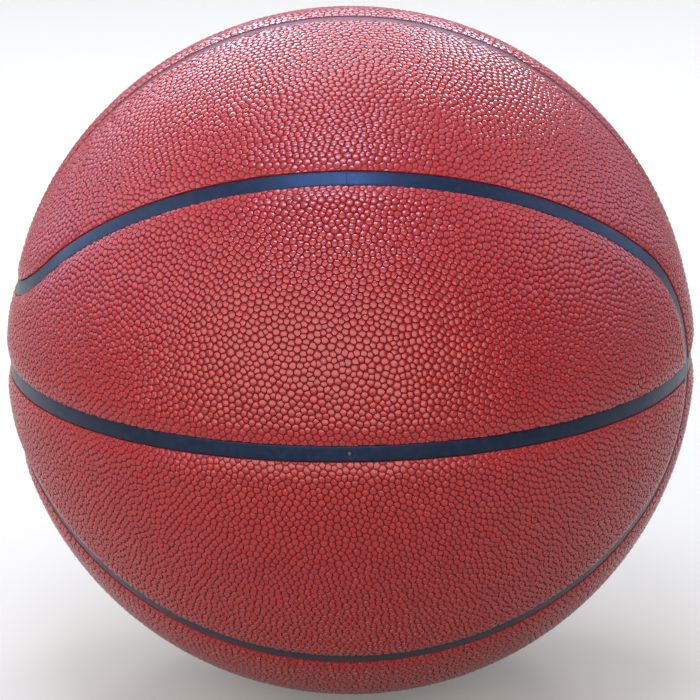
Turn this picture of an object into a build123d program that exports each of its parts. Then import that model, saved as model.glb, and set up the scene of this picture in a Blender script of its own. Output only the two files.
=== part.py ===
from build123d import *
from math import atan, atan2, cos, degrees, radians, sin, sqrt, tan
import os

os.makedirs("parts", exist_ok=True)

# A size 7 basketball, in millimetres, with its centre at the origin and +Z up.
# Two straight channels lie in the planes Z = 0 and Y = 0 and cross at two poles on the X axis.
# One closed curved channel winds between them and parts the cover into eight panels of one outline.
# The valve is at the front, on -Y, in the level channel.

# Ball
ball_radius = 120.65

# Channel between two cover panels, across its run: the panels roll down, then drop square to the strip
channel_width = 6.0
roll_width = 6.0
roll_drop = 1.1
roll_entry_angle = 4.5
wall_height = 0.4

# Distance over the surface from a pole to where the curved channel turns back across a straight one
turn_reach = 27.3

# Layers under the cover, and the cement film under each piece that is glued on
strip_thickness = 0.8
carcass_wall = 1.0
winding_wall = 0.5
bladder_wall = 0.7
glue_film = 0.1

# Butt joint where the two ends of the curved strip meet
joint_gap = 0.3

# Valve
needle_radius = 0.9
needle_depth = 11.0
neck_wall = 0.5
bulb_wall = 1.8
bulb_length = 9.0
plug_tail = 2.5
stem_wall = 0.6
mouth_recess = 0.2
mouth_chamfer = 0.3
body_wall = 1.5
body_floor = 1.5
vent_radius = 0.8
flange_width = 9.0
flange_thickness = 1.0
patch_width = 7.0
patch_thickness = 0.6

# Cuts run this far past what they cut
overrun = 2.0

# Radii from the outside in
shoulder_radius = ball_radius - roll_drop
strip_radius = shoulder_radius - wall_height
seat_radius = strip_radius - strip_thickness
carcass_radius = seat_radius - glue_film
winding_radius = carcass_radius - carcass_wall
bladder_radius = winding_radius - winding_wall
bladder_inner_radius = bladder_radius - bladder_wall
patch_radius = bladder_inner_radius - glue_film
patch_inner_radius = patch_radius - patch_thickness
flange_radius = patch_inner_radius - glue_film
body_top = flange_radius - flange_thickness

# Directions
half_turn = 180
quarter_turn = 90
centre = (0, 0, 0)
right = Vector(1, 0, 0)
left = Vector(-1, 0, 0)
front = Vector(0, -1, 0)
back = Vector(0, 1, 0)
top = Vector(0, 0, 1)
bottom = Vector(0, 0, -1)

# The curved channel runs along great circles half-way between the two straight channels. Near each pole it
# leaves them on a tangent arc about a point of one straight channel and crosses that channel square.
crossing_angle = radians(quarter_turn) - turn_reach / ball_radius
turn_centre_angle = atan((sin(crossing_angle) - sqrt(1 / 2)) / cos(crossing_angle))
slant_end_angle = atan(sqrt(2) * tan(turn_centre_angle))
turn_half_sweep = atan2(
    cos(slant_end_angle) * sqrt(1 / 2),
    sin(slant_end_angle) * cos(turn_centre_angle)
    - cos(slant_end_angle) * sin(turn_centre_angle) * sqrt(1 / 2),
)


def slant_run(middle):
    """Axis, start and sweep of the slanting stretch whose middle points out along `middle`."""
    start = left * sin(slant_end_angle) + middle * cos(slant_end_angle)
    return middle.cross(right), start, degrees(2 * slant_end_angle)


def turn_run(pole, side):
    """Axis, start and sweep of the turn beside `pole`, about a point of the channel that runs to `side`."""
    turn_centre = pole * sin(turn_centre_angle) + side * cos(turn_centre_angle)
    middle = (side - pole.cross(side)).normalized()
    start = pole * sin(slant_end_angle) + middle * cos(slant_end_angle)
    return turn_centre * -1, start, degrees(2 * turn_half_sweep)


front_top = (front + top).normalized()
slant_middles = [(side + end).normalized() for side in (front, back) for end in (top, bottom)]
turn_places = [(right, front), (right, back), (left, top), (left, bottom)]
curved_runs = [slant_run(middle) for middle in slant_middles]
curved_runs += [turn_run(pole, side) for pole, side in turn_places]
level_run = (top, front, 2 * half_turn)
upright_run = (back, top, 2 * half_turn)


def across(axis, start):
    """Plane across a run that turns about `axis`: local x goes out through `start`, local y up the axis."""
    return Plane(origin=centre, x_dir=start, z_dir=axis.cross(start))


def channel_section(plane):
    """What one channel takes out of the cover: a square slot between two rolled shoulders."""
    half_width = channel_width / 2
    roll_angle = (half_width + roll_width) / ball_radius
    entry_angle = roll_angle - radians(roll_entry_angle)
    floor = seat_radius - overrun
    outside = ball_radius + overrun
    wall_top = (sqrt(shoulder_radius**2 - half_width**2), half_width)
    roll_top = (ball_radius * cos(roll_angle), ball_radius * sin(roll_angle))
    with BuildSketch(plane) as section:
        with BuildLine():
            Polyline((floor, 0), (floor, half_width), wall_top)
            TangentArc(roll_top, wall_top, tangent=(sin(entry_angle), -cos(entry_angle)))
            Polyline(roll_top, (outside, outside * sin(roll_angle)), (outside, 0))
            mirror(about=Plane.XZ)
        make_face()
    return section.sketch


def strip_section(plane):
    """A rubber strip that fills the foot of a channel and is glued to the carcass."""
    with BuildSketch(plane) as section:
        Circle(strip_radius)
        Circle(seat_radius, mode=Mode.SUBTRACT)
        Rectangle(strip_radius, channel_width, align=(Align.MIN, Align.CENTER), mode=Mode.INTERSECT)
    return section.sketch


# Cover: the quarter between the front and the top holds two panels, which are each other's half turn
with BuildPart() as cover_quarter:
    with BuildSketch(Plane.XY):
        Circle(ball_radius)
        Circle(seat_radius, mode=Mode.SUBTRACT)
        Rectangle(2 * ball_radius, ball_radius, align=(Align.CENTER, Align.MAX), mode=Mode.INTERSECT)
    revolve(axis=Axis(centre, left), revolution_arc=quarter_turn)
    near_runs = [slant_run(front_top), turn_run(right, front), turn_run(left, top), level_run, upright_run]
    for axis, start, sweep in near_runs:
        revolve(
            channel_section(across(axis, start)),
            axis=Axis(centre, axis),
            revolution_arc=sweep,
            mode=Mode.SUBTRACT,
        )
cut_panel = cover_quarter.solids().sort_by(Axis.Z)[0]

# Each panel is the cut one turned about the middle of the slanting channel or not, then reflected
panel_places = {
    "front_upper_panel": (0, []),
    "front_lower_panel": (0, [Plane.XY]),
    "back_upper_panel": (0, [Plane.XZ]),
    "back_lower_panel": (0, [Plane.XY, Plane.XZ]),
    "top_front_panel": (half_turn, []),
    "top_back_panel": (half_turn, [Plane.XZ]),
    "bottom_front_panel": (half_turn, [Plane.XY]),
    "bottom_back_panel": (half_turn, [Plane.XY, Plane.XZ]),
}
for panel_name, (turn, mirror_planes) in panel_places.items():
    with BuildPart() as panel:
        add(cut_panel.rotate(Axis(centre, front_top), turn))
        for mirror_plane in mirror_planes:
            mirror(about=mirror_plane, mode=Mode.REPLACE)
    panel.part.label = panel_name
    export_step(panel.part, f"parts/{panel_name}.step")

# Curved strip: one length of rubber laid round the closed curve, its ends butted at the front
with BuildPart() as curved_strip:
    for axis, start, sweep in curved_runs:
        revolve(strip_section(across(axis, start)), axis=Axis(centre, axis), revolution_arc=sweep)
    with BuildSketch(Plane(origin=front_top * seat_radius, x_dir=right, z_dir=front_top)):
        Rectangle(joint_gap, channel_width + overrun)
    extrude(amount=strip_thickness + overrun, both=True, mode=Mode.SUBTRACT)
curved_strip.part.label = "curved_strip"
export_step(curved_strip.part, "parts/curved_strip.step")


def strip_ring(run):
    """The pieces that a straight channel's ring of strip is left in where the curved strip crosses it."""
    axis, start, sweep = run
    with BuildPart() as ring:
        revolve(strip_section(across(axis, start)), axis=Axis(centre, axis), revolution_arc=sweep)
        add(curved_strip.part, mode=Mode.SUBTRACT)
    return ring.solids().sort_by(SortBy.VOLUME)


# Valve sizes across its axis and along it, measured out from the ball's centre
neck_radius = needle_radius + neck_wall
bulb_radius = neck_radius + bulb_wall
stem_radius = neck_radius + stem_wall
body_radius = bulb_radius + body_wall
flange_edge = body_radius + flange_width
patch_edge = flange_edge + patch_width
mouth_level = strip_radius - mouth_recess
bulb_foot = body_top - bulb_length
tail_foot = bulb_foot - plug_tail
body_foot = tail_foot - body_floor

# Section plane of the valve: local y runs out of the ball through the mouth
valve_plane = Plane(origin=centre, x_dir=right, z_dir=bottom)

# Straight strips: each is whole round the far pole, and two short lengths reach the near one
level_cut, level_long = strip_ring(level_run)
upright_cut, upright_long = strip_ring(upright_run)

with BuildPart() as upright_strip:
    add(upright_long)
upright_strip.part.label = "upright_strip"
export_step(upright_strip.part, "parts/upright_strip.step")

with BuildPart() as level_strip:
    add(level_long)
    with BuildSketch(Plane(origin=front * seat_radius, x_dir=right, z_dir=front)):
        Circle(stem_radius)
    extrude(amount=strip_thickness + overrun, both=True, mode=Mode.SUBTRACT)
level_strip.part.label = "level_strip"
export_step(level_strip.part, "parts/level_strip.step")

stub_cuts = [
    ("level_stub_front", level_cut, upright_strip, Axis(centre, front)),
    ("level_stub_back", level_cut, upright_strip, Axis(centre, back)),
    ("upright_stub_top", upright_cut, level_strip, Axis(centre, top)),
    ("upright_stub_bottom", upright_cut, level_strip, Axis(centre, bottom)),
]
for stub_name, short_length, crossing_strip, outward in stub_cuts:
    with BuildPart() as stub_pair:
        add(short_length)
        add(crossing_strip.part, mode=Mode.SUBTRACT)
    with BuildPart() as stub:
        add(stub_pair.solids().sort_by(outward)[-1])
    stub.part.label = stub_name
    export_step(stub.part, f"parts/{stub_name}.step")


def layer_section(outer, inner):
    """Half of a hollow ball's section, open round the valve stem."""
    with BuildSketch(valve_plane) as section:
        Circle(outer)
        Circle(inner, mode=Mode.SUBTRACT)
        Rectangle(outer, 2 * outer, align=(Align.MIN, Align.CENTER), mode=Mode.INTERSECT)
        Rectangle(stem_radius, outer, align=Align.MIN, mode=Mode.SUBTRACT)
    return section.sketch


# Carcass: moulded rubber shell under the cover
with BuildPart() as carcass:
    revolve(layer_section(carcass_radius, winding_radius), axis=Axis.Y)
carcass.part.label = "carcass"
export_step(carcass.part, "parts/carcass.step")

# Winding: the layer that the nylon thread forms round the bladder
with BuildPart() as winding:
    revolve(layer_section(winding_radius, bladder_radius), axis=Axis.Y)
winding.part.label = "winding"
export_step(winding.part, "parts/winding.step")

# Bladder: butyl rubber, holds the air
with BuildPart() as bladder:
    revolve(layer_section(bladder_radius, bladder_inner_radius), axis=Axis.Y)
bladder.part.label = "bladder"
export_step(bladder.part, "parts/bladder.step")


def disc_section(outer, inner, edge):
    """Half of a domed disc's section, lying against the layer above it."""
    with BuildSketch(valve_plane) as section:
        Circle(outer)
        Circle(inner, mode=Mode.SUBTRACT)
        Rectangle(edge, outer, align=Align.MIN, mode=Mode.INTERSECT)
        Rectangle(stem_radius, outer, align=Align.MIN, mode=Mode.SUBTRACT)
    return section.sketch


# Valve patch: a disc that thickens the bladder round the valve
with BuildPart() as valve_patch:
    revolve(disc_section(patch_radius, patch_inner_radius, patch_edge), axis=Axis.Y)
valve_patch.part.label = "valve_patch"
export_step(valve_patch.part, "parts/valve_patch.step")


def plug_section():
    """Half of the soft core's section: a slim neck in the stem, a bulb to hold it in, and a tapered tail."""
    with BuildSketch(valve_plane) as section:
        with BuildLine():
            Polyline(
                (0, mouth_level),
                (neck_radius, mouth_level),
                (neck_radius, body_top),
                (bulb_radius, body_top),
                (bulb_radius, bulb_foot),
                (neck_radius, tail_foot),
                (0, tail_foot),
                close=True,
            )
        make_face()
    return section.sketch


# Valve housing: stem, flange and body in one moulding, hollow for the plug and vented at its foot
with BuildPart() as valve_housing:
    with BuildSketch(valve_plane):
        with Locations((0, body_foot)):
            Rectangle(stem_radius, mouth_level - body_foot, align=Align.MIN)
            Rectangle(body_radius, body_top - body_foot, align=Align.MIN)
            Rectangle(vent_radius, body_floor, align=Align.MIN, mode=Mode.SUBTRACT)
    revolve(axis=Axis.Y)
    revolve(disc_section(flange_radius, body_top, flange_edge), axis=Axis.Y)
    revolve(plug_section(), axis=Axis.Y, mode=Mode.SUBTRACT)
valve_housing.part.label = "valve_housing"
export_step(valve_housing.part, "parts/valve_housing.step")

# Valve plug: soft core with a blind needle hole, closed by its own rubber beyond the hole's end
with BuildPart() as valve_plug:
    revolve(plug_section(), axis=Axis.Y)
    with BuildSketch(Plane(origin=front * mouth_level, x_dir=right, z_dir=front)):
        Circle(needle_radius)
    extrude(amount=-needle_depth, mode=Mode.SUBTRACT)
    mouth_rim = valve_plug.edges().filter_by(GeomType.CIRCLE).group_by(Axis.Y)[0].sort_by(SortBy.RADIUS)[0]
    chamfer(mouth_rim, length=min(mouth_chamfer, neck_wall / 2))
valve_plug.part.label = "valve_plug"
export_step(valve_plug.part, "parts/valve_plug.step")
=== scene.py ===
from math import atan, atan2, cos, pi, radians, sin, sqrt, tan

import bmesh
import bpy
import numpy as np
from mathutils import Matrix, Vector, geometry


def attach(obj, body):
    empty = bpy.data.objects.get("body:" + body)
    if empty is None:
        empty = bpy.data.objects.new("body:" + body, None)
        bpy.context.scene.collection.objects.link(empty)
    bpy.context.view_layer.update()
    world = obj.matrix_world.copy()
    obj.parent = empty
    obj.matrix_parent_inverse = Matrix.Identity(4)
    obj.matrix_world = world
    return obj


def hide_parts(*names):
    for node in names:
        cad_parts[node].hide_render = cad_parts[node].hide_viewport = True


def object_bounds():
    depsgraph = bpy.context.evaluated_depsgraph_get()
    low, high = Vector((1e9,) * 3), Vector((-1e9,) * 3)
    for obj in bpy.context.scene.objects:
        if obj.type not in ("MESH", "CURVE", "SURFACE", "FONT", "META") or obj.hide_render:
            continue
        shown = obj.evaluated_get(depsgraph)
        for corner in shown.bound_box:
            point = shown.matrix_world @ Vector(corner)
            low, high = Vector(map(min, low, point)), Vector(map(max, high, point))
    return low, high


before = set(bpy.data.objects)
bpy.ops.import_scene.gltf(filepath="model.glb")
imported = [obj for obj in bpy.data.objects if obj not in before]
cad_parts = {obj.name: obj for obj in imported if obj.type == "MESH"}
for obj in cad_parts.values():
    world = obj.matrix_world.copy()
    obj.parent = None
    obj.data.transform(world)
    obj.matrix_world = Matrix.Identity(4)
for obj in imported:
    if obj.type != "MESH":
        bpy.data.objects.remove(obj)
cad_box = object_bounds()

# Bladder and valve patch
# The bladder is a balloon of butyl rubber that holds the air, moulded and cured in one piece.
# The patch is a disc of the same rubber, cemented inside it to stiffen the place of the valve.
MM = 0.001


def linear(hex_colour):
    """An sRGB hex colour as linear red, green and blue, with full alpha."""
    shares = [int(hex_colour[start:start + 2], 16) / 255 for start in (1, 3, 5)]
    return [s / 12.92 if s <= 0.04045 else ((s + 0.055) / 1.055) ** 2.4 for s in shares] + [1.0]


def add_node(tree, kind, settings=None, sockets=None):
    """Adds a node with its settings; each named socket is set to a value or linked from an output."""
    node = tree.nodes.new(kind)
    for name, value in (settings or {}).items():
        setattr(node, name, value)
    for name, value in (sockets or {}).items():
        if isinstance(value, bpy.types.NodeSocket):
            tree.links.new(value, node.inputs[name])
        else:
            node.inputs[name].default_value = value
    return node


def start_material(name):
    """A new material with an empty node tree, the tree, and the object's own coordinates in metres."""
    material = bpy.data.materials.new(name)
    material.use_nodes = True
    tree = material.node_tree
    tree.nodes.clear()
    return material, tree, add_node(tree, "ShaderNodeTexCoord").outputs["Object"]


def dress(node_name, material):
    """Gives a CAD node that is shown as it is its material."""
    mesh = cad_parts[node_name].data
    mesh.materials.clear()
    mesh.materials.append(material)


# Butyl rubber, moulded smooth: a dull near-black that talc from the mould greys in soft patches
talc_patch = 14 * MM
butyl, tree, place = start_material("moulded_butyl_rubber")
talc = add_node(tree, "ShaderNodeTexNoise", {}, {"Vector": place, "Scale": 1 / talc_patch, "Detail": 5.0})
colour = add_node(
    tree, "ShaderNodeMix", {"data_type": "RGBA"},
    {0: talc.outputs["Fac"], 6: linear("#2b2b2e"), 7: linear("#4c4c50")},
)
shader = add_node(
    tree, "ShaderNodeBsdfPrincipled", {},
    {"Base Color": colour.outputs[2], "Roughness": 0.62, "IOR": 1.52},
)
add_node(tree, "ShaderNodeOutputMaterial", {}, {"Surface": shader.outputs["BSDF"]})
dress("bladder", butyl)
dress("valve_patch", butyl)

# Valve housing
# A flanged tube of firm black rubber, compression moulded in one piece.
# Its flange is cemented under the patch and its stem stands through the wall into the level channel.

# Firm rubber, moulded: a soft highlight on a black that is never quite even
housing_grain = 0.35 * MM
housing_grain_depth = 0.03 * MM
firm_rubber, tree, place = start_material("moulded_firm_rubber")
grain = add_node(
    tree, "ShaderNodeTexNoise", {}, {"Vector": place, "Scale": 1 / housing_grain, "Detail": 2.0}
)
grain_bump = add_node(
    tree, "ShaderNodeBump", {},
    {"Strength": 0.2, "Distance": housing_grain_depth, "Height": grain.outputs["Fac"]},
)
colour = add_node(
    tree, "ShaderNodeMix", {"data_type": "RGBA"},
    {0: grain.outputs["Fac"], 6: linear("#14171e"), 7: linear("#1c212b")},
)
shader = add_node(
    tree, "ShaderNodeBsdfPrincipled", {},
    {
        "Base Color": colour.outputs[2],
        "Roughness": 0.5,
        "IOR": 1.45,
        "Specular Tint": linear("#9cc0ff"),
        "Normal": grain_bump.outputs["Normal"],
    },
)
add_node(tree, "ShaderNodeOutputMaterial", {}, {"Surface": shader.outputs["BSDF"]})
dress("valve_housing", firm_rubber)

# Winding
# Nylon thread, wound round the bladder in every direction and set with latex.
# It keeps the ball round and stops the bladder from swelling out of shape.

# Nylon thread, wound: pale threads that lie across each other, with thin dark gaps
thread_pitch = 0.7 * MM
thread_height = 0.2 * MM
wound_nylon, tree, place = start_material("wound_nylon_thread")
# A wave texture of scale 1 repeats every pi / 10
layers = []
for layer_axis in ("X", "Y", "Z"):
    layers.append(add_node(
        tree, "ShaderNodeTexWave", {"bands_direction": layer_axis},
        {"Vector": place, "Scale": pi / (10 * thread_pitch), "Distortion": 2.0, "Detail": 1.0},
    ).outputs["Fac"])
threads = layers[0]
for layer in layers[1:]:
    threads = add_node(
        tree, "ShaderNodeMath", {"operation": "MAXIMUM"}, {0: threads, 1: layer}
    ).outputs[0]
colour = add_node(
    tree, "ShaderNodeMix", {"data_type": "RGBA"}, {0: threads, 6: linear("#8d8878"), 7: linear("#ece8dc")}
)
thread_bump = add_node(
    tree, "ShaderNodeBump", {}, {"Strength": 0.6, "Distance": thread_height, "Height": threads}
)
shader = add_node(
    tree, "ShaderNodeBsdfPrincipled", {},
    {
        "Base Color": colour.outputs[2],
        "Roughness": 0.45,
        "IOR": 1.53,
        "Normal": thread_bump.outputs["Normal"],
    },
)
add_node(tree, "ShaderNodeOutputMaterial", {}, {"Surface": shader.outputs["BSDF"]})
dress("winding", wound_nylon)

# Carcass
# A shell of natural rubber, moulded over the winding under heat.
# Its outside is buffed, and the strips and panels are glued to it.

# Natural rubber, moulded and buffed: it looks flat and slightly dusty
buffed_grit = 0.5 * MM
buffed_depth = 0.08 * MM
moulded_rubber, tree, place = start_material("moulded_natural_rubber")
grit = add_node(
    tree, "ShaderNodeTexNoise", {}, {"Vector": place, "Scale": 1 / buffed_grit, "Detail": 3.0}
)
colour = add_node(
    tree, "ShaderNodeMix", {"data_type": "RGBA"},
    {0: grit.outputs["Fac"], 6: linear("#1d1c1c"), 7: linear("#3a3836")},
)
grit_bump = add_node(
    tree, "ShaderNodeBump", {}, {"Strength": 0.5, "Distance": buffed_depth, "Height": grit.outputs["Fac"]}
)
shader = add_node(
    tree, "ShaderNodeBsdfPrincipled", {},
    {
        "Base Color": colour.outputs[2],
        "Roughness": 0.8,
        "IOR": 1.52,
        "Normal": grit_bump.outputs["Normal"],
    },
)
add_node(tree, "ShaderNodeOutputMaterial", {}, {"Surface": shader.outputs["BSDF"]})
dress("carcass", moulded_rubber)

# Channel strips
# Flat black rubber extruded in lengths, cut, and glued to the carcass along the lines between the panels.
# The curved one is laid first, its ends butted at the front; the straight ones are cut to meet it.
ball_radius = 120.65 * MM
channel_width = 6.0 * MM
strip_radius = 119.15 * MM
seat_radius = 118.35 * MM
turn_reach = 27.3 * MM
joint_gap = 0.1 * MM
strip_step = 1.0 * MM
fewest_steps = 3
crease_angle = radians(50)
stem_radius = 2.0 * MM
punch_segments = 64

# Section of the extrusion: shares of its half width, and how far its top lies below the strip radius there
half_shares = np.array([0.93, 0.91, 0.87, 0.8, 0.6, 0.3])
half_drops = np.array([0.34, 0.17, 0.07, 0.03, 0.01, 0.0]) * MM
strip_shares = np.concatenate([-half_shares, [0.0], half_shares[::-1]])
strip_drops = np.concatenate([half_drops, [0.0], half_drops[::-1]])

right = np.array([1.0, 0.0, 0.0])
front = np.array([0.0, -1.0, 0.0])
top = np.array([0.0, 0.0, 1.0])

# The curved channel: slanting great circles joined near the poles by tangent turns
crossing_angle = pi / 2 - turn_reach / ball_radius
turn_centre_angle = atan((sin(crossing_angle) - sqrt(0.5)) / cos(crossing_angle))
slant_end_angle = atan(sqrt(2) * tan(turn_centre_angle))
turn_angle = crossing_angle - turn_centre_angle
turn_half_sweep = atan2(
    cos(slant_end_angle) * sqrt(0.5),
    sin(slant_end_angle) * cos(turn_centre_angle)
    - cos(slant_end_angle) * sin(turn_centre_angle) * sqrt(0.5),
)


def unit(vectors):
    """Vectors at length one."""
    return vectors / np.linalg.norm(vectors, axis=-1, keepdims=True)


def slant(middle, pole):
    """The slanting stretch through `middle` that comes from the side of `pole`: axis, start and sweep."""
    start = pole * sin(slant_end_angle) + middle * cos(slant_end_angle)
    return np.cross(middle, -pole), start, 2 * slant_end_angle


def turn(pole, middle, next_middle):
    """The turn beside `pole` that leads from one slanting stretch to the next: axis, start and sweep."""
    hub = pole * sin(turn_centre_angle) + unit(middle + next_middle) * cos(turn_centre_angle)
    start = pole * sin(slant_end_angle) + middle * cos(slant_end_angle)
    ahead = pole * cos(slant_end_angle) - middle * sin(slant_end_angle)
    return hub * np.sign(np.cross(hub, start) @ ahead), start, 2 * turn_half_sweep


def sweep_path(runs):
    """Points and headings on the unit ball along runs that follow on from each other."""
    points, headings = [], []
    for axis, start, sweep in runs:
        length = abs(sweep) * np.linalg.norm(np.cross(axis, start)) * ball_radius
        steps = max(fewest_steps, round(length / strip_step))
        angles = np.linspace(0, sweep, steps + 1)[:, None]
        level = axis * (axis @ start)
        path = level + (start - level) * np.cos(angles) + np.cross(axis, start) * np.sin(angles)
        skip = 1 if points else 0
        points.append(path[skip:])
        headings.append(unit(np.cross(axis, path))[skip:])
    return np.concatenate(points), np.concatenate(headings)


def make_object(name, mesh, material):
    """Puts a finished mesh into the scene in place of the CAD node of that name."""
    mesh.materials.append(material)
    piece = bpy.data.objects.new(name + "_shown", mesh)
    bpy.context.scene.collection.objects.link(piece)
    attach(piece, "root")
    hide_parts(name)
    return piece


def strip_mesh(name, runs):
    """The strip section swept along its runs, closed underneath and at both ends."""
    points, headings = sweep_path(runs)
    sideways = np.cross(points, headings)
    shares = np.concatenate([strip_shares, strip_shares[[-1, 0]]])
    angles = shares * channel_width / 2 / ball_radius
    radii = np.concatenate([strip_radius - strip_drops, [seat_radius, seat_radius]])
    directions = points[:, None] * np.cos(angles)[:, None] + sideways[:, None] * np.sin(angles)[:, None]
    vertices = (directions * radii[:, None]).reshape(-1, 3)
    corner_count = len(shares)
    faces = [list(range(corner_count)), list(range(len(vertices) - corner_count, len(vertices)))]
    for row in range(len(points) - 1):
        for corner in range(corner_count):
            here = row * corner_count + corner
            beside = row * corner_count + (corner + 1) % corner_count
            faces.append([here, beside, beside + corner_count, here + corner_count])
    mesh = bpy.data.meshes.new(name)
    mesh.from_pydata(vertices, [], faces)
    shell = bmesh.new()
    shell.from_mesh(mesh)
    bmesh.ops.recalc_face_normals(shell, faces=shell.faces)
    shell.to_mesh(mesh)
    shell.free()
    mesh.shade_smooth()
    mesh.set_sharp_from_angle(angle=crease_angle)
    return mesh


# Satin rubber, extruded: a cool black that mirrors the light softly along the strip,
# with faint cloudy marks and a grey bloom of dust
strip_cloud = 9.0 * MM
strip_dust = 2.2 * MM
strip_dust_depth = 0.04 * MM
satin_rubber, tree, place = start_material("extruded_satin_rubber")
clouds = add_node(
    tree, "ShaderNodeTexNoise", {}, {"Vector": place, "Scale": 1 / strip_cloud, "Detail": 6.0}
)
dust = add_node(
    tree, "ShaderNodeTexNoise", {},
    {"Vector": place, "Scale": 1 / strip_dust, "Detail": 8.0, "Roughness": 0.65},
)
dust_share = add_node(
    tree, "ShaderNodeMapRange", {},
    {"Value": dust.outputs["Fac"], "From Min": 0.45, "From Max": 0.75, "To Min": 0.0, "To Max": 0.55},
)
black = add_node(
    tree, "ShaderNodeMix", {"data_type": "RGBA"},
    {0: clouds.outputs["Fac"], 6: linear("#0b0d11"), 7: linear("#11141b")},
)
colour = add_node(
    tree, "ShaderNodeMix", {"data_type": "RGBA"},
    {0: dust_share.outputs["Result"], 6: black.outputs[2], 7: linear("#222834")},
)
strip_roughness = add_node(
    tree, "ShaderNodeMapRange", {},
    {"Value": clouds.outputs["Fac"], "From Min": 0.3, "From Max": 0.7, "To Min": 0.32, "To Max": 0.42},
)
strip_bump = add_node(
    tree, "ShaderNodeBump", {},
    {"Strength": 0.25, "Distance": strip_dust_depth, "Height": dust.outputs["Fac"]},
)
shader = add_node(
    tree, "ShaderNodeBsdfPrincipled", {},
    {
        "Base Color": colour.outputs[2],
        "Roughness": strip_roughness.outputs["Result"],
        "IOR": 1.45,
        "Specular Tint": linear("#8eb8ff"),
        "Normal": strip_bump.outputs["Normal"],
    },
)
add_node(tree, "ShaderNodeOutputMaterial", {}, {"Surface": shader.outputs["BSDF"]})

front_top, front_bottom = unit(front + top), unit(front - top)
back_top, back_bottom = -front_bottom, -front_top
half_gap = joint_gap / 2 / ball_radius
half_slant = slant_end_angle - half_gap
joint_axis = np.cross(front_top, right)
joint_start = front_top * cos(half_gap) + right * sin(half_gap)
last_start = front_top * cos(slant_end_angle) - right * sin(slant_end_angle)
strip_edge = channel_width / 2 / ball_radius
ring_start = crossing_angle - strip_edge
stub_start = crossing_angle + strip_edge
stub_sweep = pi / 2 - strip_edge - stub_start
long_sweep = pi + 2 * ring_start

strip_runs = {
    "curved_strip": [
        (joint_axis, joint_start, half_slant),
        turn(right, front_top, front_bottom),
        slant(front_bottom, right),
        turn(-right, front_bottom, back_bottom),
        slant(back_bottom, -right),
        turn(right, back_bottom, back_top),
        slant(back_top, right),
        turn(-right, back_top, front_top),
        (joint_axis, last_start, half_slant),
    ],
    "level_strip": [(-top, front * cos(ring_start) + right * sin(ring_start), long_sweep)],
    "upright_strip": [(front, top * cos(ring_start) - right * sin(ring_start), -long_sweep)],
    "level_stub_front": [(top, front * cos(stub_start) + right * sin(stub_start), stub_sweep)],
    "level_stub_back": [(-top, -front * cos(stub_start) + right * sin(stub_start), stub_sweep)],
    "upright_stub_top": [(-front, top * cos(stub_start) - right * sin(stub_start), -stub_sweep)],
    "upright_stub_bottom": [(front, -top * cos(stub_start) - right * sin(stub_start), -stub_sweep)],
}
strips = {}
for strip_name, runs in strip_runs.items():
    strips[strip_name] = make_object(strip_name, strip_mesh(strip_name, runs), satin_rubber)

# The level strip is punched where the valve stem stands in it
punch_mesh = bpy.data.meshes.new("punch")
punch_shell = bmesh.new()
bmesh.ops.create_cone(
    punch_shell, cap_ends=True, segments=punch_segments,
    radius1=stem_radius, radius2=stem_radius, depth=channel_width,
    matrix=Matrix.Translation(Vector(front) * strip_radius) @ Matrix.Rotation(pi / 2, 4, "X"),
)
punch_shell.to_mesh(punch_mesh)
punch_shell.free()
punch = bpy.data.objects.new("punch", punch_mesh)
bpy.context.scene.collection.objects.link(punch)
stem_hole = strips["level_strip"].modifiers.new("stem_hole", "BOOLEAN")
stem_hole.object = punch
stem_hole.solver = "EXACT"
punched = strips["level_strip"].evaluated_get(bpy.context.evaluated_depsgraph_get())
strips["level_strip"].data = bpy.data.meshes.new_from_object(punched)
strips["level_strip"].modifiers.clear()
bpy.data.objects.remove(punch)

# Cover panels
# Eight pieces of composite leather, one outline and its mirror image, with pebbles pressed into the face.
# Their edges are skived so that they roll down, and they are glued to the carcass beside the strips.
pebble_pitch = 2.42 * MM
crevice_depth = 0.9 * MM
rim_depth = 0.27 * MM
crown_unevenness = 0.06 * MM
crown_lean = tan(radians(2.5))
roll_width = 6.0 * MM
roll_drop = 1.1 * MM
roll_entry_slope = tan(radians(4.5))
edge_waver = 0.08 * MM
least_edge_distance = 0.03 * MM

# How far the pebbles are moved, as a share of their pitch, and how often they are then evened out
pebble_seed = 11
jitter_share = 0.25
evenings = 8

# Points of the flat map that the pebbles' neighbours are found on count as one when they are nearer than this
map_tolerance = 1e-9

# How far out a pebble's rim lies on the way to its corners and sides, and how round the rim is
rim_share = 0.72
side_share = 0.84
rounding_share = 0.75
rounding_limit = 1.16

# Relief for the paint, which gives the crevices painted shade: 0 in a crevice, 1 in the middle of a crown
rim_relief = 0.62
# The cut walls and the glued side are given a low relief, so that they take the crevices' painted shade
cut_wall_shade_relief = 0.2
relief_tolerance = 0.001
crevice_tint = 0.5

# Share of a pebble's height that is pressed flat at a panel's edge
edge_flattening_share = 0.5

# Pebble middles: points on a spiral, spread evenly over the ball, moved at random and then evened out
chance = np.random.default_rng(pebble_seed)
hexagon_area = pebble_pitch**2 * sqrt(3) / 2
pebble_count = round(4 * pi * ball_radius**2 / hexagon_area)
order = np.arange(pebble_count) + 0.5
height = 1 - 2 * order / pebble_count
golden_angle = pi * (3 - sqrt(5))
bearing = order * golden_angle
ring = np.sqrt(1 - height**2)
middles = np.stack([ring * np.cos(bearing), ring * np.sin(bearing), height], 1)
middles = unit(middles + chance.normal(0, jitter_share * pebble_pitch / ball_radius, middles.shape))


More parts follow.
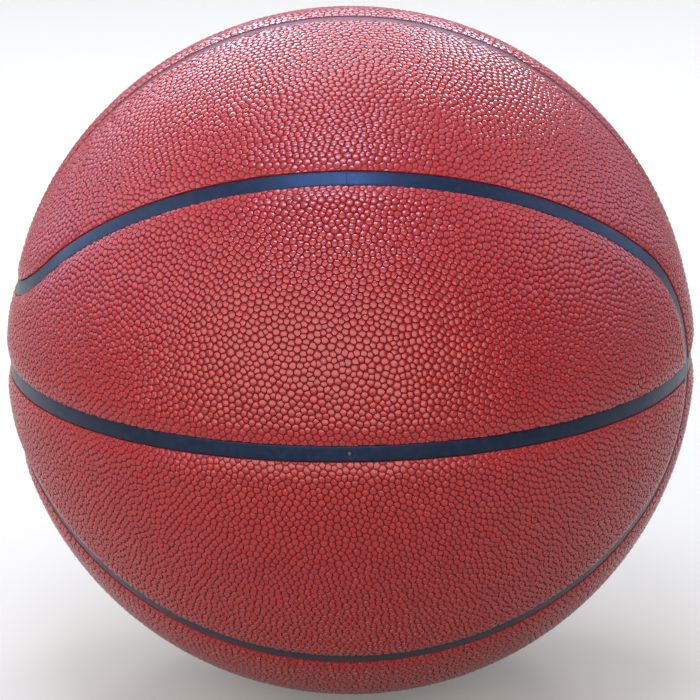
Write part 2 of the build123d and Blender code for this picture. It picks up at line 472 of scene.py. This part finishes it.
def neighbour_triangles(points):
    """Delaunay triangles of points on the ball, seen from outside, by a map drawn from the right pole."""
    flat_map = points[:, 1:] / (1 - points[:, :1])
    spots = [Vector(spot) for spot in flat_map.tolist()]
    faces, sources = geometry.delaunay_2d_cdt(spots, [], [], 0, map_tolerance)[2:4]
    corners = np.array([first[0] for first in sources])[np.array(faces)]
    a, b, c = (points[corners[:, corner]] for corner in range(3))
    normals = np.cross(b - a, c - a)
    turned = np.einsum("ij,ij->i", normals, a) < 0
    corners[turned] = corners[turned][:, ::-1]
    normals[turned] *= -1
    return corners, unit(normals)


for _ in range(evenings):
    corners, crevices = neighbour_triangles(middles)
    sums = np.zeros_like(middles)
    for corner in range(3):
        np.add.at(sums, corners[:, corner], crevices)
    lone = ~sums.any(1)
    sums[lone] = middles[lone]
    middles = unit(sums)
corners, crevices = neighbour_triangles(middles)

# A sector of a pebble lies between the two triangles that share the side from it to a neighbour
triangle_count = len(corners)
pebble_of = corners.ravel()
neighbour_of = np.roll(corners, -1, 1).ravel()
side_keys = pebble_of * pebble_count + neighbour_of
sorting = np.argsort(side_keys)
found = np.searchsorted(side_keys[sorting], neighbour_of * pebble_count + pebble_of)
found = sorting[np.minimum(found, len(sorting) - 1)]
paired = side_keys[found] == neighbour_of * pebble_count + pebble_of
near = np.flatnonzero(paired)
far = found[paired] // 3 * 3 + (found[paired] + 1) % 3
owner = pebble_of[near]
crevice_near, crevice_far = near // 3, found[paired] // 3
sector_count = len(near)

# Each sector rises from the crevice over a rounded rim to the middle of the pebble
spokes = np.repeat(crevices, 3, 0) - middles[pebble_of]
reach = np.linalg.norm(spokes, axis=1)
corner_counts = np.maximum(np.bincount(pebble_of, minlength=pebble_count), 1)
mean_reach = np.bincount(pebble_of, reach, minlength=pebble_count) / corner_counts
rounding = (1 - rounding_share + rounding_share * mean_reach[pebble_of] / reach)[:, None]
rims = unit(middles[pebble_of] + spokes * rim_share * np.minimum(rounding, rounding_limit))
sides = (crevices[crevice_near] + crevices[crevice_far]) / 2 - middles[owner]
side_reach = np.linalg.norm(sides, axis=1)
side_rounding = np.minimum(rim_share * mean_reach[owner] / side_reach, side_share)[:, None]
side_rims = unit(middles[owner] + sides * side_rounding)
lift = chance.uniform(-1, 0, pebble_count) * crown_unevenness
tint = chance.uniform(0, 1, pebble_count)
lean = chance.normal(0, crown_lean, (pebble_count, 3)) * ball_radius
rim_lean = np.einsum("ij,ij->i", lean[pebble_of], rims - middles[pebble_of])
side_lean = np.einsum("ij,ij->i", lean[owner], side_rims - middles[owner])
cover_points = np.concatenate([crevices, rims, side_rims, middles])
cover_heights = np.concatenate([
    np.full(triangle_count, -crevice_depth),
    np.minimum(lift[pebble_of] + rim_lean - rim_depth, 0),
    np.minimum(lift[owner] + side_lean - rim_depth, 0),
    lift,
])
cover_relief = np.concatenate([
    np.zeros(triangle_count), np.full(3 * triangle_count + sector_count, rim_relief), np.ones(pebble_count)
])
cover_tint = np.concatenate([np.full(triangle_count, crevice_tint), tint[pebble_of], tint[owner], tint])

# Each row holds a triangle's three corners and the pebble that it belongs to
rim_near, rim_far = near + triangle_count, far + triangle_count
side_rim = np.arange(sector_count) + 4 * triangle_count
middle = owner + 4 * triangle_count + sector_count
cover_triangles = np.concatenate([
    np.stack([crevice_far, crevice_near, side_rim, owner], 1),
    np.stack([crevice_near, rim_near, side_rim, owner], 1),
    np.stack([crevice_far, side_rim, rim_far, owner], 1),
    np.stack([rim_far, side_rim, middle, owner], 1),
    np.stack([side_rim, rim_near, middle, owner], 1),
])
pebble_outlines = np.stack([crevice_near, crevice_far, middle, owner], 1)

# Slow waver of the knife along the panels' edges
waver_counts = np.array([37, 53, 71, 97, 131, 173])
waver_axes = unit(chance.normal(0, 1, (len(waver_counts), 3)))
waver_phases = chance.uniform(0, 2 * pi, len(waver_counts))
waves_in_step = 3

# Bearing of the line that a panel's paint chart unrolls from, where its rows start and how large they are
chart_bearing = pi / 8
chart_starts = np.array([[0.955, 0.01], [0.02, 0.49], [0.06, 0.97]])
chart_scales = np.array([0.6, 0.6, 0.03])


def edge_distances(points):
    """How far points in the pattern panel's place lie inside each of its three edges."""
    half_width = channel_width / 2
    waves = np.sin(points @ waver_axes.T * waver_counts + waver_phases).sum(1)
    waver = waves / waves_in_step * edge_waver
    level = np.arcsin(np.clip(points @ top, -1, 1)) * ball_radius
    upright = np.arcsin(np.clip(points @ front, -1, 1)) * ball_radius
    curved = np.arcsin(np.clip(points @ np.cross(front_top, -right), -1, 1)) * ball_radius
    inner_hub = right * sin(turn_centre_angle) + front * cos(turn_centre_angle)
    outer_hub = -right * sin(turn_centre_angle) + top * cos(turn_centre_angle)
    inner = (turn_angle - np.arccos(np.clip(points @ inner_hub, -1, 1))) * ball_radius
    outer = (np.arccos(np.clip(points @ outer_hub, -1, 1)) - turn_angle) * ball_radius
    past_right = points @ (right * cos(slant_end_angle) - front_top * sin(slant_end_angle)) > 0
    past_left = points @ (-right * cos(slant_end_angle) - front_top * sin(slant_end_angle)) > 0
    curved = np.where(past_right, inner, np.where(past_left, outer, curved))
    fields = np.stack([level, upright, curved], 1) - half_width + waver[:, None]
    too_near = np.abs(fields) < least_edge_distance
    return np.where(too_near, np.copysign(least_edge_distance, fields), fields)


def clip(values, triangles, edge):
    """Cuts triangles along the line where one edge's distance is nought, and keeps the part inside."""
    inside = values[:, edge] > 0
    count = inside[triangles[:, :3]].sum(1)
    whole = triangles[count == 3]
    split = triangles[(count == 1) | (count == 2)]
    odd = inside[split[:, :3]]
    odd = np.where(odd.sum(1) == 1, odd.argmax(1), (~odd).argmax(1))
    rows = np.arange(len(split))
    lone, after, before = (split[rows, (odd + shift) % 3] for shift in range(3))
    owner = split[:, 3]
    ends = np.sort(np.stack([np.concatenate([lone, lone]), np.concatenate([after, before])], 1), 1)
    unique_ends, place = np.unique(ends[:, 0] * len(values) + ends[:, 1], return_inverse=True)
    low, high = unique_ends // len(values), unique_ends % len(values)
    share = (values[low, edge] / (values[low, edge] - values[high, edge]))[:, None]
    cuts = values[low] + (values[high] - values[low]) * share
    cuts[:, edge] = 0
    place = place.reshape(-1) + len(values)
    cut_after, cut_before = place[:len(split)], place[len(split):]
    kept = inside[lone]
    pieces = [
        whole,
        np.stack([lone, cut_after, cut_before, owner], 1)[kept],
        np.stack([cut_after, after, before, owner], 1)[~kept],
        np.stack([cut_after, before, cut_before, owner], 1)[~kept],
    ]
    return np.concatenate([values, cuts]), np.concatenate(pieces)


def panel_mesh(name, place_turn):
    """A panel cut out of the pebbled cover, its edges rolled down, with walls and a plain glued face."""
    cover_distances = edge_distances(cover_points @ place_turn)
    values = np.column_stack([cover_distances, cover_points, cover_heights, cover_relief, cover_tint])
    close = (cover_distances > -pebble_pitch).all(1)
    triangles = cover_triangles[close[cover_triangles[:, :3]].all(1)]
    for edge in range(3):
        values, triangles = clip(values, triangles, edge)
    distances, directions = values[:, :3], values[:, 3:6]
    heights, reliefs, tints = values[:, 6:].T
    count = len(values)
    faces = triangles[:, :3]

    # Walls stand on the sides that only one triangle has
    sides = np.concatenate([faces[:, [0, 1]], faces[:, [1, 2]], faces[:, [2, 0]]])
    keys = np.sort(sides, 1) @ np.array([count, 1])
    first, repeats = np.unique(keys, return_index=True, return_counts=True)[1:]
    start, end = sides[first[repeats == 1]].T
    walls = np.concatenate([
        np.stack([end, start, start + count], 1), np.stack([end, start + count, end + count], 1)
    ])

    # Underneath, a whole pebble needs only its outline; a cut one keeps its triangles
    safe = (cover_distances > 0).all(1)[cover_triangles[:, :3]].all(1)
    whole = np.bincount(cover_triangles[:, 3], ~safe, minlength=pebble_count) == 0
    under = np.concatenate([
        faces[~whole[triangles[:, 3]]][:, ::-1], pebble_outlines[whole[pebble_outlines[:, 3]]][:, :3]
    ]) + count

    # The face rolls down to the channels, and the glued side lies on the carcass
    inward = np.clip(roll_width - distances.min(1), 0, roll_width)
    roll_bend = (roll_drop - roll_entry_slope * roll_width) / roll_width**2
    lowered = roll_entry_slope * inward + roll_bend * inward**2
    outward = unit(directions)
    levels = ball_radius + heights * (1 - edge_flattening_share * inward / roll_width) - lowered
    # The walls darken towards the glued side with the crevices' painted shade
    points = np.concatenate([outward * levels[:, None], outward * seat_radius])
    relief = np.concatenate([reliefs, np.full(count, cut_wall_shade_relief)])
    pebble = np.concatenate([tints, tints])

    # Chart for the paint: the face unrolled in two rows, and the glued side small in a third
    every_face = np.concatenate([faces, walls, under])
    pattern = outward @ place_turn
    along = np.arcsin(np.clip(pattern[:, 0], -1, 1))
    bearings = np.arctan2(pattern[:, 2], -pattern[:, 1])
    across = (bearings - chart_bearing) * np.cos(along) + chart_bearing
    chart = np.stack([along, across], 1)[every_face % count]
    chart_row = (chart[:, :, 0].mean(1) > 0).astype(int)
    chart_row[-len(under):] = 2
    chart = chart_starts[chart_row][:, None] + chart * chart_scales[chart_row][:, None, None]

    used, every_face = np.unique(every_face, return_inverse=True)
    every_face = every_face.reshape(-1, 3)
    mesh = bpy.data.meshes.new(name)
    mesh.vertices.add(len(used))
    mesh.vertices.foreach_set("co", points[used].astype(np.float32).ravel())
    mesh.loops.add(every_face.size)
    mesh.loops.foreach_set("vertex_index", every_face.astype(np.int32).ravel())
    mesh.polygons.add(len(every_face))
    mesh.polygons.foreach_set("loop_start", np.arange(0, every_face.size, 3, dtype=np.int32))
    mesh.update(calc_edges=True)
    mesh.uv_layers.new(name="OFBake").data.foreach_set("uv", chart.astype(np.float32).ravel())
    for attribute, amounts in (("relief", relief), ("pebble", pebble)):
        layer = mesh.attributes.new(attribute, "FLOAT", "POINT")
        layer.data.foreach_set("value", amounts[used].astype(np.float32))
    mesh.shade_smooth()
    mesh.set_sharp_from_angle(angle=crease_angle)

    # A crown is nearly flat and breaks off at its rim
    ends = np.empty(2 * len(mesh.edges), np.int32)
    mesh.edges.foreach_get("vertices", ends)
    on_rim = (np.abs(relief[used] - rim_relief) < relief_tolerance)[ends.reshape(-1, 2)].all(1)
    sharp = np.empty(len(mesh.edges), bool)
    mesh.edges.foreach_get("use_edge_sharp", sharp)
    mesh.edges.foreach_set("use_edge_sharp", sharp | on_rim)
    return mesh


# Composite leather, dyed through and pressed: satin red-brown pebbles, each a little different,
# with a small clear glint on their crowns and dull crevices between them, dark from their depth and from
# painted shade
dye_patch = 38 * MM
leather_grain = 0.3 * MM
leather_grain_depth = 0.03 * MM
leather, tree, place = start_material("pebbled_composite_leather")
relief = add_node(tree, "ShaderNodeAttribute", {"attribute_name": "relief"}).outputs["Fac"]
pebble_tint = add_node(tree, "ShaderNodeAttribute", {"attribute_name": "pebble"}).outputs["Fac"]
patches = add_node(
    tree, "ShaderNodeTexNoise", {}, {"Vector": place, "Scale": 1 / dye_patch, "Detail": 4.0}
)
grain = add_node(
    tree, "ShaderNodeTexNoise", {}, {"Vector": place, "Scale": 1 / leather_grain, "Detail": 3.0}
)
dye = add_node(
    tree, "ShaderNodeMix", {"data_type": "RGBA"},
    {0: patches.outputs["Fac"], 6: linear("#891719"), 7: linear("#931d1f")},
)
shade_of_pebble = add_node(
    tree, "ShaderNodeMapRange", {}, {"Value": pebble_tint, "To Min": 0.92, "To Max": 1.06}
)
pebble_colour = add_node(
    tree, "ShaderNodeMix", {"data_type": "RGBA", "blend_type": "MULTIPLY"},
    {0: 1.0, 6: dye.outputs[2], 7: shade_of_pebble.outputs["Result"]},
)
pebble_share = add_node(
    tree, "ShaderNodeMapRange", {"interpolation_type": "SMOOTHSTEP"},
    {"Value": relief, "From Min": 0.05, "From Max": 0.6},
)
# Painted shade: the crevices are coloured darker than the pebbles, on top of the real shade of their depth
colour = add_node(
    tree, "ShaderNodeMix", {"data_type": "RGBA"},
    {0: pebble_share.outputs["Result"], 6: linear("#5c0f12"), 7: pebble_colour.outputs[2]},
)
leather_roughness = add_node(
    tree, "ShaderNodeMapRange", {},
    {"Value": relief, "From Min": 0.35, "From Max": rim_relief, "To Min": 0.75, "To Max": 0.22},
)
leather_bump = add_node(
    tree, "ShaderNodeBump", {},
    {"Strength": 0.2, "Distance": leather_grain_depth, "Height": grain.outputs["Fac"]},
)
shader = add_node(
    tree, "ShaderNodeBsdfPrincipled", {},
    {
        "Base Color": colour.outputs[2],
        "Roughness": leather_roughness.outputs["Result"],
        "IOR": 1.5,
        "Normal": leather_bump.outputs["Normal"],
    },
)
add_node(tree, "ShaderNodeOutputMaterial", {}, {"Surface": shader.outputs["BSDF"]})

# The front upper panel is the pattern. The others are it reflected, given a half turn about the middle of
# the slanting channel, or both
half_turn = 2 * np.outer(front_top, front_top) - np.eye(3)
upside_down = np.diag([1.0, 1.0, -1.0])
front_to_back = np.diag([1.0, -1.0, 1.0])
panel_places = {
    "front_upper_panel": np.eye(3),
    "front_lower_panel": upside_down,
    "back_upper_panel": front_to_back,
    "back_lower_panel": front_to_back @ upside_down,
    "top_front_panel": half_turn,
    "top_back_panel": front_to_back @ half_turn,
    "bottom_front_panel": upside_down @ half_turn,
    "bottom_back_panel": front_to_back @ upside_down @ half_turn,
}
for panel_name, place_turn in panel_places.items():
    make_object(panel_name, panel_mesh(panel_name, place_turn), leather)

# Valve plug
# A soft core of grey rubber, moulded in one piece and pushed into the housing.
# Its mouth is pinched shut round the needle hole.
mouth_level = 118.95 * MM
body_top = 114.25 * MM
bulb_foot = 105.25 * MM
tail_foot = 102.75 * MM
neck_radius = 1.38 * MM
bulb_radius = 3.15 * MM
# Size of the pale oval painted round the needle hole as a highlight
glint_half_width = 0.5 * MM
glint_half_height = 0.72 * MM
plug_segments = 48

# The mouth, from its middle out: the lips of the needle hole, the groove round them and the edge
mouth_radii = np.array([0.3, 0.55, 0.8, 1.1, 1.3]) * MM
mouth_drops = np.array([0.02, 0.1, 0.3, 0.34, 0.06]) * MM
mouth_edge_drop = 0.1 * MM

# Radius and level of each ring of the plug, from the mouth to the tail
plug_rings = list(zip(mouth_radii, mouth_level - mouth_drops)) + [
    (neck_radius, mouth_level - mouth_edge_drop),
    (neck_radius, body_top),
    (bulb_radius, body_top),
    (bulb_radius, bulb_foot),
    (neck_radius, tail_foot),
]
bearings = np.arange(plug_segments) * 2 * pi / plug_segments
circle = np.outer(np.cos(bearings), right) + np.outer(np.sin(bearings), top)
plug_points = [front * mouth_level, front * tail_foot]
first_ring = len(plug_points)
last_ring = first_ring + (len(plug_rings) - 1) * plug_segments
for radius, level in plug_rings:
    plug_points.extend(radius * circle + front * level)
plug_faces = []
for segment in range(plug_segments):
    beside = (segment + 1) % plug_segments
    plug_faces.append([0, first_ring + segment, first_ring + beside])
    plug_faces.append([1, last_ring + beside, last_ring + segment])
    for ring_foot in range(first_ring, last_ring, plug_segments):
        here, next_to = ring_foot + segment, ring_foot + beside
        plug_faces.append([here, here + plug_segments, next_to + plug_segments, next_to])
plug_mesh = bpy.data.meshes.new("valve_plug")
plug_mesh.from_pydata(plug_points, [], plug_faces)
plug_mesh.shade_smooth()

# Soft rubber, moulded and dark, with a pale oval round the needle hole that is a painted highlight
soft_rubber, tree, place = start_material("moulded_soft_rubber")
axes = add_node(tree, "ShaderNodeSeparateXYZ", {}, {0: place})
wide = add_node(
    tree, "ShaderNodeMath", {"operation": "DIVIDE"}, {0: axes.outputs["X"], 1: glint_half_width}
).outputs[0]
high = add_node(
    tree, "ShaderNodeMath", {"operation": "DIVIDE"}, {0: axes.outputs["Z"], 1: glint_half_height}
).outputs[0]
spread = add_node(tree, "ShaderNodeCombineXYZ", {}, {"X": wide, "Y": high})
from_glint = add_node(tree, "ShaderNodeVectorMath", {"operation": "LENGTH"}, {0: spread.outputs[0]})
beyond_glint = add_node(
    tree, "ShaderNodeMapRange", {"interpolation_type": "SMOOTHSTEP"},
    {"Value": from_glint.outputs["Value"], "From Min": 0.7, "From Max": 1.1},
)
# Painted highlight: pale inside the oval, the rubber's own dark colour outside it
colour = add_node(
    tree, "ShaderNodeMix", {"data_type": "RGBA"},
    {0: beyond_glint.outputs["Result"], 6: linear("#484c53"), 7: linear("#0e1119")},
)
shader = add_node(
    tree, "ShaderNodeBsdfPrincipled", {},
    {"Base Color": colour.outputs[2], "Roughness": 0.5, "IOR": 1.45, "Specular Tint": linear("#9cc0ff")},
)
add_node(tree, "ShaderNodeOutputMaterial", {}, {"Surface": shader.outputs["BSDF"]})
make_object("valve_plug", plug_mesh, soft_rubber)

# Floor
# A plain studio floor of painted board, which the ball rests on.
# It is pale to the camera and in reflections, and keeps the ball's shadow.
floor_half = 4.0
floor_level = cad_box[0].z
floor_glow = 0.14
floor_mesh = bpy.data.meshes.new("floor")
floor_mesh.from_pydata(
    [(x * floor_half, y * floor_half, floor_level) for x, y in ((-1, -1), (1, -1), (1, 1), (-1, 1))],
    [], [(0, 1, 2, 3)],
)
floor = bpy.data.objects.new("floor", floor_mesh)
bpy.context.scene.collection.objects.link(floor)

# Emulsion paint, rolled on: matt and even, with no highlight
matt_paint, tree = start_material("matt_floor_paint")[:2]
light_path = add_node(tree, "ShaderNodeLightPath")
seen = light_path.outputs["Is Camera Ray"]
for ray in ("Is Glossy Ray", "Is Transmission Ray"):
    seen = add_node(
        tree, "ShaderNodeMath", {"operation": "MAXIMUM"}, {0: seen, 1: light_path.outputs[ray]}
    ).outputs[0]
paint = add_node(
    tree, "ShaderNodeMix", {"data_type": "RGBA"}, {0: seen, 6: linear("#5c5956"), 7: linear("#a8a196")}
)
glow = add_node(tree, "ShaderNodeMath", {"operation": "MULTIPLY"}, {0: seen, 1: floor_glow})
shader = add_node(
    tree, "ShaderNodeBsdfPrincipled", {},
    {
        "Base Color": paint.outputs[2],
        "Roughness": 0.9,
        "Specular IOR Level": 0.0,
        "Emission Color": linear("#ffffff"),
        "Emission Strength": glow.outputs[0],
    },
)
add_node(tree, "ShaderNodeOutputMaterial", {}, {"Surface": shader.outputs["BSDF"]})
floor_mesh.materials.append(matt_paint)

# Light
# A studio room with a broad warm soft box in front of the ball and cooler ones at its sides, over it and
# behind it. The room is bright overhead and behind the ball, and dim in front and along the horizon.
back_brightening = 0.35
room_strength = 1.1
room = bpy.data.worlds.new("studio_room")
bpy.context.scene.world = room
room.use_nodes = True
tree = room.node_tree
tree.nodes.clear()
room_place = add_node(tree, "ShaderNodeTexCoord")
way = add_node(tree, "ShaderNodeSeparateXYZ", {}, {0: room_place.outputs["Generated"]})
up_and_back = add_node(
    tree, "ShaderNodeMath", {"operation": "MULTIPLY_ADD"},
    {0: way.outputs["Y"], 1: back_brightening, 2: way.outputs["Z"]},
)
brightness = add_node(
    tree, "ShaderNodeMapRange", {"interpolation_type": "SMOOTHSTEP"},
    {"Value": up_and_back.outputs[0], "From Min": 0.1, "From Max": 0.7},
)
walls = add_node(
    tree, "ShaderNodeMix", {"data_type": "RGBA"},
    {0: brightness.outputs["Result"], 6: linear("#585a60"), 7: linear("#dce9ff")},
)
room_light = add_node(
    tree, "ShaderNodeBackground", {}, {"Color": walls.outputs[2], "Strength": room_strength}
)
add_node(tree, "ShaderNodeOutputWorld", {}, {"Surface": room_light.outputs[0]})

# Each soft box: its place, its width and height in metres, its watts and its colour
soft_boxes = {
    "front_box": ((-0.4, -1.9, 0.5), (3.6, 1.8), 79.0, "#fff8f2"),
    "left_box": ((-1.7, -0.3, 0.9), (1.2, 1.2), 11.0, "#e8ecff"),
    "right_box": ((1.7, -0.2, 0.9), (1.2, 1.2), 8.0, "#e8ecff"),
    "overhead_box": ((-0.1, -0.48, 1.32), (0.5, 0.3), 12.5, "#c4d8ff"),
    "back_box": ((-0.25, 1.15, 0.95), (1.9, 0.6), 18.0, "#dce8ff"),
    "crown_box": ((-0.1, 0.35, 1.35), (0.7, 0.4), 7.0, "#dce8ff"),
    "far_left_box": ((-1.6, 0.85, 0.45), (1.0, 0.8), 7.0, "#b8d0ff"),
    "far_right_box": ((1.6, 0.85, 0.45), (1.0, 0.8), 4.0, "#b8d0ff"),
    "right_glint_box": ((0.46, 0.87, 0.82), (0.25, 0.25), 4.0, "#f4f6ff"),
    "left_glint_box": ((-0.33, 0.88, 0.86), (0.2, 0.25), 3.5, "#f4f6ff"),
}
for box_name, (spot, size, watts, box_colour) in soft_boxes.items():
    lamp = bpy.data.lights.new(box_name, "AREA")
    lamp.shape = "RECTANGLE"
    lamp.size, lamp.size_y = size
    lamp.energy = watts
    lamp.color = linear(box_colour)[:3]
    box = bpy.data.objects.new(box_name, lamp)
    box.location = spot
    box.rotation_euler = (-Vector(spot)).to_track_quat("-Z", "Y").to_euler()
    box.visible_camera = False
    bpy.context.scene.collection.objects.link(box)

# Camera
# It stands at the photograph's viewing angle: a little to the right of the valve, above it, and turned
# slightly. Its lens fits the ball's outline to the circle that the outline is in the photograph.
view_azimuth = radians(0.4)
view_elevation = radians(16.63)
view_roll = radians(-0.75)
view_distance = 13.9 * ball_radius
photo_pixels = 700
outline_radius_pixels = 344.5
outline_offset_pixels = 0.75
sensor_width = 36.0
camera_data = bpy.data.cameras.new("camera")
camera_data.sensor_width = sensor_width
outline_slope = 1 / sqrt((view_distance / ball_radius) ** 2 - 1)
camera_data.lens = sensor_width * outline_radius_pixels / photo_pixels / outline_slope
camera_data.shift_x = -outline_offset_pixels / photo_pixels
camera = bpy.data.objects.new("camera", camera_data)
bpy.context.scene.collection.objects.link(camera)
backward = Vector((
    sin(view_azimuth) * cos(view_elevation), -cos(view_azimuth) * cos(view_elevation), sin(view_elevation)
))
sideways = Vector((cos(view_azimuth), sin(view_azimuth), 0))
upward = backward.cross(sideways)
rolled_side = sideways * cos(view_roll) + upward * sin(view_roll)
rolled_up = upward * cos(view_roll) - sideways * sin(view_roll)
turned = Matrix((rolled_side, rolled_up, backward)).transposed().to_4x4()
camera.matrix_world = Matrix.Translation(backward * view_distance) @ turned
bpy.context.scene.camera = camera
bpy.context.scene.view_settings.view_transform = "Standard"
